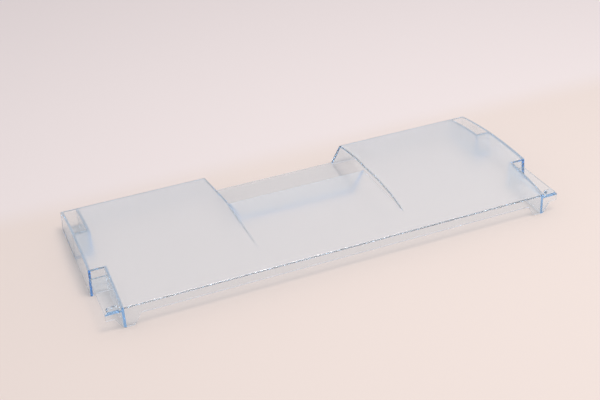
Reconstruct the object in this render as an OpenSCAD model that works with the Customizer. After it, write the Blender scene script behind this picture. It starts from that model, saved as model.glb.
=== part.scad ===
// Freezer drawer front: one moulding in clear plastic, lying on its back with the bowed face up.
// X runs along the front, +Y points to the grip edge, +Z is the outward side.
// The origin is under the middle of the front, on the plane of its back edges.

/* [Front] */
// Length of the front
front_w = 420; // [380:1:450]
// Height of the front, from the bottom edge to the grip edge
front_h = 174; // [160:1:190]
// Depth at the two long edges
edge_depth = 19.2; // [16:0.2:22]
// Depth at the middle of the bow
crown_depth = 27; // [24:0.2:30]
// Thickness of the bowed face
face_t = 2.5; // [2:0.1:3]
// Thickness of the walls around and inside it
wall_t = 2.2; // [1.8:0.1:2.6]
// Lean of each end wall, wider at the back edge
end_draft = 1.4; // [0.6:0.2:2]
// Rounding where the face turns into the long walls
edge_r = 1.6; // [1.2:0.1:2]

/* [Bottom edge] */
// Depth of the bottom flange, from the front edge
flange_depth = 9; // [7:0.5:11]
// Width of each foot where it meets the flange
foot_w = 22; // [18:1:26]
// Width of each foot at its tip
foot_tip_w = 9; // [8:0.5:12]
// Rounding of the foot tips
foot_r = 2.4; // [1.5:0.1:3]

/* [Bottom corners] */
// Width of the notch in each bottom corner
notch_w = 13.7; // [11:0.1:16]
// Height of the notch, along the end
notch_h = 55.5; // [48:0.5:62]
// Drop of the ledge below the front edge
ledge_drop = 1.9; // [1.2:0.1:2.5]
// Thickness of the ledge
ledge_t = 2.5; // [2:0.1:3]
// Width of the catch on the ledge
catch_w = 10; // [8:0.5:10.5]
// Height of the catch above the ledge
catch_rise = 3.9; // [3:0.1:4.5]
// Thickness of the catch
catch_t = 4; // [3:0.5:6]
// Rounding of the catch's upper corners
catch_round = 2.8; // [1.5:0.1:3]
// Gap between the catch and the notch wall
catch_gap = 2; // [1:0.5:3]

/* [Top corners] */
// Width of the pocket in each top corner, with the end wall
pocket_w = 13.6; // [11:0.1:16]
// Height of the pocket, along the end
pocket_h = 54; // [46:0.5:60]

/* [Grip] */
// Width of the grip across the face
grip_w = 139; // [120:1:160]
// Height of the finger opening, from the grip edge to the lip
opening_h = 63; // [54:1:70]
// Depth of the flat panel below the crown of the bow
panel_drop = 3.8; // [3.4:0.1:5]
// Thickness of the floors behind the opening and the pockets
floor_t = 2.5; // [2:0.1:3]
// Lean of the side walls of the grip, from upright
side_lean = 30; // [20:1:35]
// Flare of the opening in plan
side_flare = 5.3; // [2:0.1:8]

/* [Hidden] */
clear_blue = [0.80, 0.87, 0.95];
$fn = 48;
bow_facets = 360;
past = 1;

// The bow: an arc over the height of the front
half_w = front_w / 2;
half_h = front_h / 2;
bow_rise = crown_depth - edge_depth;
bow_r = (half_h * half_h + bow_rise * bow_rise) / (2 * bow_rise);
bow_z = crown_depth - bow_r;

// Rounded long edges, each centre at the same distance from the wall and the arc
round_y = half_h - edge_r;
round_z = bow_z + sqrt(pow(bow_r - edge_r, 2) - pow(round_y, 2));
round_touch = bow_r / (bow_r - edge_r);

// Corners
notch_x = half_w - notch_w;
pocket_x = half_w - pocket_w;
pocket_y = half_h - pocket_h;
ledge_top = edge_depth - ledge_drop;
flange_z = edge_depth - flange_depth;
catch_x = notch_x + catch_gap + catch_w / 2;
foot_x = notch_x - foot_tip_w / 2;

// Grip
lip_y = half_h - opening_h;
lip_r = face_t / 2;
panel_top = crown_depth - panel_drop;
panel_under = panel_top - face_t;
lip_face_z = bow_z + sqrt(pow(bow_r, 2) - pow(lip_y, 2));
side_x = grip_w / 2;

// Places x along one end and its mirror image at the other
module both_ends() {
    children();
    mirror([1, 0, 0])
        children();
}

// A solid that runs the whole length from an outline drawn in Y and Z
module along_front(length) {
    rotate([90, 0, 90])
        linear_extrude(height = length, center = true)
            children();
}

// A solid that runs the whole height from an outline drawn in X and Z
module across_front(height) {
    rotate([90, 0, 0])
        linear_extrude(height = height, center = true)
            children();
}

// Cuts a long corner of the bow back to its rounding
module corner_cut() {
    difference() {
        polygon([
            [round_y, round_z],
            [half_h + past, round_z],
            [half_h + past, crown_depth],
            [round_y * round_touch, bow_z + (round_z - bow_z) * round_touch + past],
        ]);
        translate([round_y, round_z])
            circle(r = edge_r);
    }
}

// Side view of the bow, inset on both faces and both long walls
module bow_outline(under, inset, low) {
    intersection() {
        translate([0, bow_z])
            circle(r = bow_r - under, $fn = bow_facets);
        translate([inset - half_h, low])
            square([front_h - 2 * inset, crown_depth - low]);
    }
}

// View along the height: the end walls lean out towards the back
module end_outline(inset, low) {
    lean = end_draft / crown_depth;
    top_x = half_w - inset;
    low_x = half_w + end_draft - inset - lean * low;
    polygon([
        [-low_x, low],
        [low_x, low],
        [top_x - lean * past, crown_depth + past],
        [-top_x + lean * past, crown_depth + past],
    ]);
}

// The full bowed block before anything is taken out
module block() {
    intersection() {
        along_front(front_w + 4 * end_draft)
            difference() {
                bow_outline(0, 0, 0);
                corner_cut();
                mirror([1, 0])
                    corner_cut();
            }
        across_front(front_h)
            end_outline(0, 0);
    }
}

// The hollow behind the face, bounded by the four outer walls
module hollow() {
    intersection() {
        along_front(front_w + 4 * end_draft)
            bow_outline(face_t, wall_t, -past);
        across_front(front_h)
            end_outline(wall_t, -past);
    }
}

// Everything outside one side wall of the grip, moved outwards by a wall thickness
module beside_grip(flare, outwards) {
    deep = 3 * crown_depth;
    translate([side_x, lip_y, lip_face_z])
        rotate([0, 0, -flare])
            rotate([0, side_lean, 0])
                translate([outwards, -front_h, -deep])
                    cube([side_x, 2 * front_h, 2 * deep]);
}

// A stretch of the grip between its two leaning side walls
module grip_space(from_y, to_y, from_z, flare, outwards) {
    difference() {
        translate([-side_x * 1.5, from_y, from_z])
            cube([side_x * 3, to_y - from_y, crown_depth + past - from_z]);
        both_ends()
            beside_grip(flare, outwards);
    }
}

// The finger opening and the sunk flat panel, as taken out of the face
module grip_cut() {
    grip_space(lip_y - lip_r, half_h + past, floor_t, side_flare, 0);
    grip_space(-half_h - past, lip_y, panel_top, 0, 0);
}

// The same space with its walls, which the hollow keeps clear of
module grip_keep() {
    grip_space(lip_y, half_h + past, -2 * past, side_flare, wall_t);
    grip_space(-half_h - past, lip_y, panel_under, 0, wall_t);
}

// The round nose of the lip that fingers pull on
module lip_nose() {
    nose_z = panel_under + lip_r;
    nose_half = side_x - (lip_face_z - nose_z) * tan(side_lean) + wall_t / 2;
    translate([-nose_half, lip_y - lip_r, nose_z])
        rotate([0, 90, 0])
            cylinder(r = lip_r, h = 2 * nose_half);
}

// The corner notch, or the larger space that it takes with its walls
module notch_space(walls) {
    translate([notch_x - walls, -half_h - past, -2 * past])
        cube([notch_w + end_draft + 2 * past, notch_h + past + walls, crown_depth + 4 * past]);
}

// The pocket in the top corner, down to its floor
module pocket_cut() {
    intersection() {
        across_front(front_h)
            end_outline(wall_t, 0);
        translate([pocket_x, pocket_y, floor_t])
            cube([pocket_w + end_draft, pocket_h - wall_t, crown_depth]);
    }
}

// The same pocket with its walls and floor
module pocket_keep() {
    translate([pocket_x - wall_t, pocket_y - wall_t, -2 * past])
        cube([pocket_w + end_draft + 2 * past, pocket_h + wall_t + past, crown_depth + 4 * past]);
}

// Outline of a tapered foot with a round-cornered tip
module foot_outline() {
    run = (foot_w - foot_tip_w) / 2;
    tip_angle = 180 - atan2(flange_z, run);
    reach = foot_r / tan(tip_angle / 2);
    tip = foot_tip_w / 2;
    side = [cos(180 - tip_angle), sin(180 - tip_angle)] * reach;
    polygon([
        [-foot_w / 2, flange_z],
        [-tip - side[0], side[1]],
        [-tip + reach, 0],
        [tip - reach, 0],
        [tip + side[0], side[1]],
        [foot_w / 2, flange_z],
    ]);
    for (way = [-1, 1])
        translate([way * (tip - reach), foot_r])
            circle(r = foot_r);
}

// What the bottom wall loses between the two feet
module flange_gap() {
    across_front(wall_t + 2 * past)
        difference() {
            translate([-notch_x, -past])
                square([2 * notch_x, flange_z + past]);
            for (way = [-1, 1])
                translate([way * foot_x, 0])
                    foot_outline();
        }
}

// Outline of the catch, rooted in the ledge, with two rounded upper corners
module catch_outline() {
    root = ledge_t / 2;
    inner_w = catch_w - 2 * catch_round;
    translate([-catch_w / 2, -root])
        square([catch_w, root + catch_rise - catch_round]);
    translate([-inner_w / 2, -root])
        square([inner_w, root + catch_rise]);
    for (way = [-1, 1])
        translate([way * inner_w / 2, catch_rise - catch_round])
            circle(r = catch_round);
}

// The ledge in the notch, the web below its edge and the catch on top
module ledge() {
    ledge_w = notch_w + wall_t;
    translate([notch_x - wall_t, -half_h, ledge_top - ledge_t])
        cube([ledge_w, notch_h + wall_t, ledge_t]);
    translate([notch_x - wall_t, -half_h, flange_z])
        cube([ledge_w, wall_t, ledge_top - flange_z]);
    translate([foot_x, -half_h + wall_t / 2, 0])
        across_front(wall_t)
            intersection() {
                foot_outline();
                translate([0, -past])
                    square([foot_w, flange_z + past]);
            }
    translate([catch_x, -half_h + catch_t / 2, ledge_top])
        across_front(catch_t)
            catch_outline();
}

// The whole front as one moulding
module drawer_front() {
    color(clear_blue) {
        difference() {
            block();
            grip_cut();
            both_ends() {
                notch_space(0);
                pocket_cut();
            }
            difference() {
                hollow();
                grip_keep();
                both_ends() {
                    notch_space(wall_t);
                    pocket_keep();
                }
            }
            translate([0, -half_h + wall_t / 2, 0])
                flange_gap();
        }
        lip_nose();
        both_ends()
            ledge();
    }
}

drawer_front();
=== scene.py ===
import math

import bmesh
import bpy
from mathutils import Matrix, Vector


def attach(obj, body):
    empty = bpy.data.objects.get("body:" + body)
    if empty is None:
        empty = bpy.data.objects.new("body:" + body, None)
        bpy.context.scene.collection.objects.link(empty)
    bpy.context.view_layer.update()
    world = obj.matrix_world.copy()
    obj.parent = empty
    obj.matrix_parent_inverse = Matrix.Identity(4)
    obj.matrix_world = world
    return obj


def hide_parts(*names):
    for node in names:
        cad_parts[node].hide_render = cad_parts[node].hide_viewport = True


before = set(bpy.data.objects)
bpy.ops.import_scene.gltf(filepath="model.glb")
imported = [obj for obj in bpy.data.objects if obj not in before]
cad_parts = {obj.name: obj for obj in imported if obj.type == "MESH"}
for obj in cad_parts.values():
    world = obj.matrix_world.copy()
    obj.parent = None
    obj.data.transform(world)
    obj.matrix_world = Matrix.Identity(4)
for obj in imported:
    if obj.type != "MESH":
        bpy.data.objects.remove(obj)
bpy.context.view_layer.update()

MM = 0.001
scene = bpy.context.scene
scene.view_settings.view_transform = "Standard"
scene.cycles.max_bounces = 32
scene.cycles.transmission_bounces = 32
scene.cycles.glossy_bounces = 32
scene.cycles.transparent_max_bounces = 32

# Camera, fitted to the photograph
CAM_AZIMUTH = math.radians(-110.37)
CAM_ELEVATION = math.radians(30.45)
CAM_ROLL = math.radians(-3.45)
CAM_DISTANCE = 1.0405
CAM_TARGET = Vector((0.00665, 0.03622, 0.0))
CAM_LENS = 65.53


def make_camera():
    back = Vector((
        math.cos(CAM_ELEVATION) * math.cos(CAM_AZIMUTH),
        math.cos(CAM_ELEVATION) * math.sin(CAM_AZIMUTH),
        math.sin(CAM_ELEVATION),
    ))
    right = Vector((0, 0, 1)).cross(back).normalized()
    up = back.cross(right)
    across = right * math.cos(CAM_ROLL) + up * math.sin(CAM_ROLL)
    upward = up * math.cos(CAM_ROLL) - right * math.sin(CAM_ROLL)
    data = bpy.data.cameras.new("camera")
    data.lens = CAM_LENS
    data.sensor_width = 36.0
    data.clip_start = 0.01
    data.clip_end = 100.0
    cam = bpy.data.objects.new("camera", data)
    scene.collection.objects.link(cam)
    turn = Matrix((across, upward, back)).transposed().to_4x4()
    cam.matrix_world = Matrix.Translation(CAM_TARGET + back * CAM_DISTANCE) @ turn
    scene.camera = cam


make_camera()


class Nodes:
    """A short way to write a node tree."""

    def __init__(self, tree):
        self.tree = tree
        tree.nodes.clear()

    def add(self, kind, **settings):
        node = self.tree.nodes.new(kind)
        for key, value in settings.items():
            setattr(node, key, value)
        return node

    def put(self, socket, value):
        if isinstance(value, bpy.types.NodeSocket):
            self.tree.links.new(value, socket)
        else:
            socket.default_value = value

    def math(self, operation, a, b=None, clamp=False):
        node = self.add("ShaderNodeMath", operation=operation, use_clamp=clamp)
        self.put(node.inputs[0], a)
        if b is not None:
            self.put(node.inputs[1], b)
        return node.outputs[0]

    def ramp(self, value, low, high, to_low=0.0, to_high=1.0):
        node = self.add("ShaderNodeMapRange", interpolation_type="SMOOTHSTEP")
        for socket, v in zip(node.inputs, (value, low, high, to_low, to_high)):
            self.put(socket, v)
        return node.outputs[0]

    def mix(self, factor, a, b):
        node = self.add("ShaderNodeMix", data_type="RGBA")
        self.put(node.inputs[0], factor)
        self.put(node.inputs[6], a)
        self.put(node.inputs[7], b)
        return node.outputs[2]


def new_material(name):
    mat = bpy.data.materials.new(name)
    mat.use_nodes = True
    return mat, Nodes(mat.node_tree)


FLOOR_NEAR = (0.82, 0.71, 0.66, 1.0)
FLOOR_FAR = (0.85, 0.76, 0.75, 1.0)


def floor_material():
    mat, n = new_material("floor")
    out = n.add("ShaderNodeOutputMaterial")
    shader = n.add("ShaderNodeBsdfPrincipled")
    where = n.add("ShaderNodeNewGeometry")
    split = n.add("ShaderNodeSeparateXYZ")
    n.put(split.inputs[0], where.outputs["Position"])
    depth = n.ramp(split.outputs[1], 0.10, 0.16)
    n.put(shader.inputs["Base Color"], n.mix(depth, FLOOR_NEAR, FLOOR_FAR))
    shader.inputs["Roughness"].default_value = 0.9
    shader.inputs["Specular IOR Level"].default_value = 0.1
    n.put(out.inputs["Surface"], shader.outputs[0])
    return mat


def make_floor():
    size = 30.0
    mesh = bpy.data.meshes.new("floor")
    mesh.from_pydata(
        [(-size, -size, -0.0003), (size, -size, -0.0003), (size, size, -0.0003), (-size, size, -0.0003)],
        [], [(0, 1, 2, 3)])
    floor = bpy.data.objects.new("floor", mesh)
    scene.collection.objects.link(floor)
    mesh.materials.append(floor_material())


make_floor()


def make_world():
    world = bpy.data.worlds.new("world")
    world.use_nodes = True
    n = Nodes(world.node_tree)
    out = n.add("ShaderNodeOutputWorld")
    sky = n.add("ShaderNodeBackground")
    sky.inputs["Color"].default_value = (0.95, 0.96, 1.0, 1.0)
    sky.inputs["Strength"].default_value = 0.62
    seen = n.add("ShaderNodeBackground")
    seen.inputs["Color"].default_value = (0.86, 0.78, 0.77, 1.0)
    path = n.add("ShaderNodeLightPath")
    sharp = n.math("MAXIMUM", path.outputs["Is Camera Ray"], path.outputs["Is Glossy Ray"])
    sharp = n.math("MAXIMUM", sharp, path.outputs["Is Transmission Ray"])
    sharp = n.math("MULTIPLY", sharp, n.math("LESS_THAN", path.outputs["Diffuse Depth"], 0.5))
    pick = n.add("ShaderNodeMixShader")
    n.put(pick.inputs[0], sharp)
    n.put(pick.inputs[1], sky.outputs[0])
    n.put(pick.inputs[2], seen.outputs[0])
    n.put(out.inputs["Surface"], pick.outputs[0])
    scene.world = world


make_world()


def make_lamp():
    data = bpy.data.lights.new("softbox", "AREA")
    data.shape = "RECTANGLE"
    data.size = 0.6
    data.size_y = 0.6
    data.energy = 12.5
    data.color = (1.0, 0.98, 0.95)
    lamp = bpy.data.objects.new("softbox", data)
    scene.collection.objects.link(lamp)
    place = Vector((0.32, -0.38, 1.5))
    aim = Vector((0.05, 0.0, 0.0)) - place
    lamp.matrix_world = Matrix.Translation(place) @ aim.to_track_quat("-Z", "Y").to_matrix().to_4x4()


make_lamp()


def plastic():
    mat, n = new_material("clear_blue_plastic")
    out = n.add("ShaderNodeOutputMaterial")
    shader = n.add("ShaderNodeBsdfPrincipled")
    frost = n.add("ShaderNodeAttribute", attribute_name="frost").outputs["Fac"]
    n.put(shader.inputs["Base Color"], n.mix(frost, (0.97, 0.985, 0.995, 1), (0.95, 0.96, 0.98, 1)))
    n.put(shader.inputs["Roughness"], n.ramp(frost, 0.0, 1.0, 0.03, 0.28))
    shader.inputs["IOR"].default_value = 1.5
    n.put(shader.inputs["Transmission Weight"], n.ramp(frost, 0.0, 1.0, 0.97, 0.85))
    light = n.add("ShaderNodeLightPath")
    clear = n.add("ShaderNodeBsdfTransparent")
    edge_on = n.add("ShaderNodeLayerWeight")
    edge_on.inputs["Blend"].default_value = 0.5
    n.put(clear.inputs["Color"], n.mix(n.math("POWER", edge_on.outputs["Facing"], 3.0), (0.965, 0.97, 0.975, 1), (0.35, 0.38, 0.4, 1)))
    mix = n.add("ShaderNodeMixShader")
    soft = n.math("MAXIMUM", light.outputs["Is Shadow Ray"], light.outputs["Is Diffuse Ray"])
    n.put(mix.inputs[0], soft)
    n.put(mix.inputs[1], shader.outputs[0])
    n.put(mix.inputs[2], clear.outputs[0])
    n.put(out.inputs["Surface"], mix.outputs[0])
    inside = n.add("ShaderNodeVolumeAbsorption")
    inside.inputs["Color"].default_value = (0.10, 0.60, 0.97, 1.0)
    inside.inputs["Density"].default_value = 20.0
    n.put(out.inputs["Volume"], inside.outputs[0])
    return mat


def make_front():
    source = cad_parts["drawer_front"]
    bm = bmesh.new()
    bm.from_mesh(source.data)
    bmesh.ops.remove_doubles(bm, verts=bm.verts, dist=0.02 * MM)
    bmesh.ops.dissolve_degenerate(bm, edges=bm.edges, dist=0.001 * MM)
    bm.normal_update()
    frosted = []
    for face in bm.faces:
        face.smooth = True
        centre = face.calc_center_median()
        bow = -0.45204 + math.sqrt(0.47904 ** 2 - centre.y ** 2)
        up = face.normal.z > 0.85
        on_bow = up and centre.z > bow - 0.6 * MM
        on_panel = up and abs(centre.z - 23.2 * MM) < 0.3 * MM
        frosted.append(1.0 if on_bow or on_panel else 0.0)
    for edge in bm.edges:
        edge.smooth = edge.is_manifold and edge.calc_face_angle() < math.radians(30)
    mesh = bpy.data.meshes.new("front")
    bm.to_mesh(mesh)
    bm.free()
    mesh.attributes.new("frost", "FLOAT", "FACE").data.foreach_set("value", frosted)
    mesh.materials.append(plastic())
    front = bpy.data.objects.new("front", mesh)
    scene.collection.objects.link(front)
    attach(front, "root")
    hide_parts("drawer_front")


make_front()
